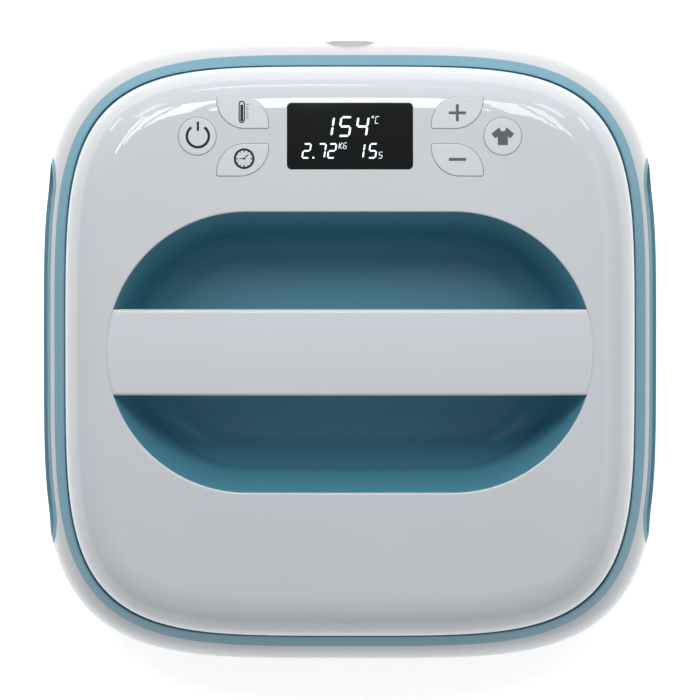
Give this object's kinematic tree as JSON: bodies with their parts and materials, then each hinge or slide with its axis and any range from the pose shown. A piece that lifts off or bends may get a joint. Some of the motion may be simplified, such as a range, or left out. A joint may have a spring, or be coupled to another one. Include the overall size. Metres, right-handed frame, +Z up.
{
  "type": "handheld heat press",
  "caption": "Rounded-square handheld heat press with a flush handle bar over a finger bowl, a control panel, side grips and a hot plate below.",
  "frame": {"origin": "middle of the heat plate's pressing face, on the surface that the press stands on", "axes": "+Z up, +Y to the rear, where the control panel and the cord gland are, +X to the right-hand side"},
  "size_m": [0.284, 0.284, 0.1],
  "materials": {
    "cover_white": "glossy white",
    "housing_white": "glossy white",
    "band_teal": "satin grey-blue",
    "bowl_teal": "satin grey-blue",
    "grip_teal": "soft matte grey-blue",
    "handle_white": "glossy white",
    "key_white": "satin white",
    "lens_black": "glossy black window",
    "gland_pale": "pale rubber",
    "skirt_black": "heat-resistant, matte",
    "plate_coated": "cast, with a dark non-stick coating",
    "sheet_steel": "galvanised sheet",
    "fibre_blanket": "needled glass fibre",
    "frame_grey": "moulded",
    "fastener_steel": "zinc plated",
    "tube_steel": "heat-tinted tube",
    "board_green": "solder mask",
    "case_black": "moulded",
    "case_blue": "moulded",
    "core_steel": "laminated",
    "film_yellow": "moulded",
    "sink_aluminium": "extruded",
    "lead_red": "silicone sleeve",
    "lead_white": "silicone sleeve",
    "ribbon_grey": "flat cable",
    "module_grey": "display cell and backlight",
    "cell_steel": "punched spring steel",
    "disc_brass": "plated"
  },
  "bodies": {
    "press": {"top_cover": "cover_white", "trim_band": "band_teal", "lower_housing": "housing_white", "side_grip_right": "grip_teal", "side_grip_left": "grip_teal", "handle_bowl": "bowl_teal", "handle_bar": "handle_white", "handle_grip": "handle_white", "handle_post_left": "frame_grey", "handle_post_right": "frame_grey", "handle_screws": "fastener_steel", "base_skirt": "skirt_black", "cord_gland": "gland_pale", "cord_clamp": "frame_grey", "display_lens": "lens_black", "display_module": "module_grey", "key_switches": "case_black", "control_board": "board_green", "board_screws": "fastener_steel", "power_board": "board_green", "sensor_board": "board_green", "relays": "case_blue", "transformer": "core_steel", "mains_capacitor": "film_yellow", "triac_heatsink": "sink_aluminium", "terminal_blocks": "case_blue", "buzzer": "case_black", "ribbon_cable": "ribbon_grey", "inner_frame": "frame_grey", "frame_screws": "fastener_steel", "housing_screws": "fastener_steel", "hanger_screws": "fastener_steel", "load_cells": "cell_steel", "cell_holders": "frame_grey", "cell_buttons": "fastener_steel", "heat_shield": "sheet_steel", "insulation_blanket": "fibre_blanket", "outer_element": "tube_steel", "inner_element": "tube_steel", "heat_plate": "plate_coated", "plate_studs": "fastener_steel", "thermostat": "disc_brass", "thermal_fuse": "disc_brass", "temperature_sensor": "disc_brass", "signal_leads": "lead_white", "heater_leads": "lead_red", "cell_leads": "lead_white"},
    "power_button": {"power_key": "key_white", "power_plunger": "case_black"},
    "temperature_button": {"temperature_key": "key_white", "temperature_plunger": "case_black"},
    "timer_button": {"timer_key": "key_white", "timer_plunger": "case_black"},
    "plus_button": {"plus_key": "key_white", "plus_plunger": "case_black"},
    "minus_button": {"minus_key": "key_white", "minus_plunger": "case_black"},
    "preset_button": {"preset_key": "key_white", "preset_plunger": "case_black"}
  },
  "joints": [
    {"name": "power_press", "type": "slide", "parent": "press", "child": "power_button", "axis": [0, 0, -1], "range_m": [0, 0.0008], "stiffness_N_per_m": 800, "springref_m": -0.0008},
    {"name": "temperature_press", "type": "slide", "parent": "press", "child": "temperature_button", "axis": [0, 0, -1], "range_m": [0, 0.0008], "stiffness_N_per_m": 800, "springref_m": -0.0008},
    {"name": "timer_press", "type": "slide", "parent": "press", "child": "timer_button", "axis": [0, 0, -1], "range_m": [0, 0.0008], "stiffness_N_per_m": 800, "springref_m": -0.0008},
    {"name": "plus_press", "type": "slide", "parent": "press", "child": "plus_button", "axis": [0, 0, -1], "range_m": [0, 0.0008], "stiffness_N_per_m": 800, "springref_m": -0.0008},
    {"name": "minus_press", "type": "slide", "parent": "press", "child": "minus_button", "axis": [0, 0, -1], "range_m": [0, 0.0008], "stiffness_N_per_m": 800, "springref_m": -0.0008},
    {"name": "preset_press", "type": "slide", "parent": "press", "child": "preset_button", "axis": [0, 0, -1], "range_m": [0, 0.0008], "stiffness_N_per_m": 800, "springref_m": -0.0008}
  ]
}
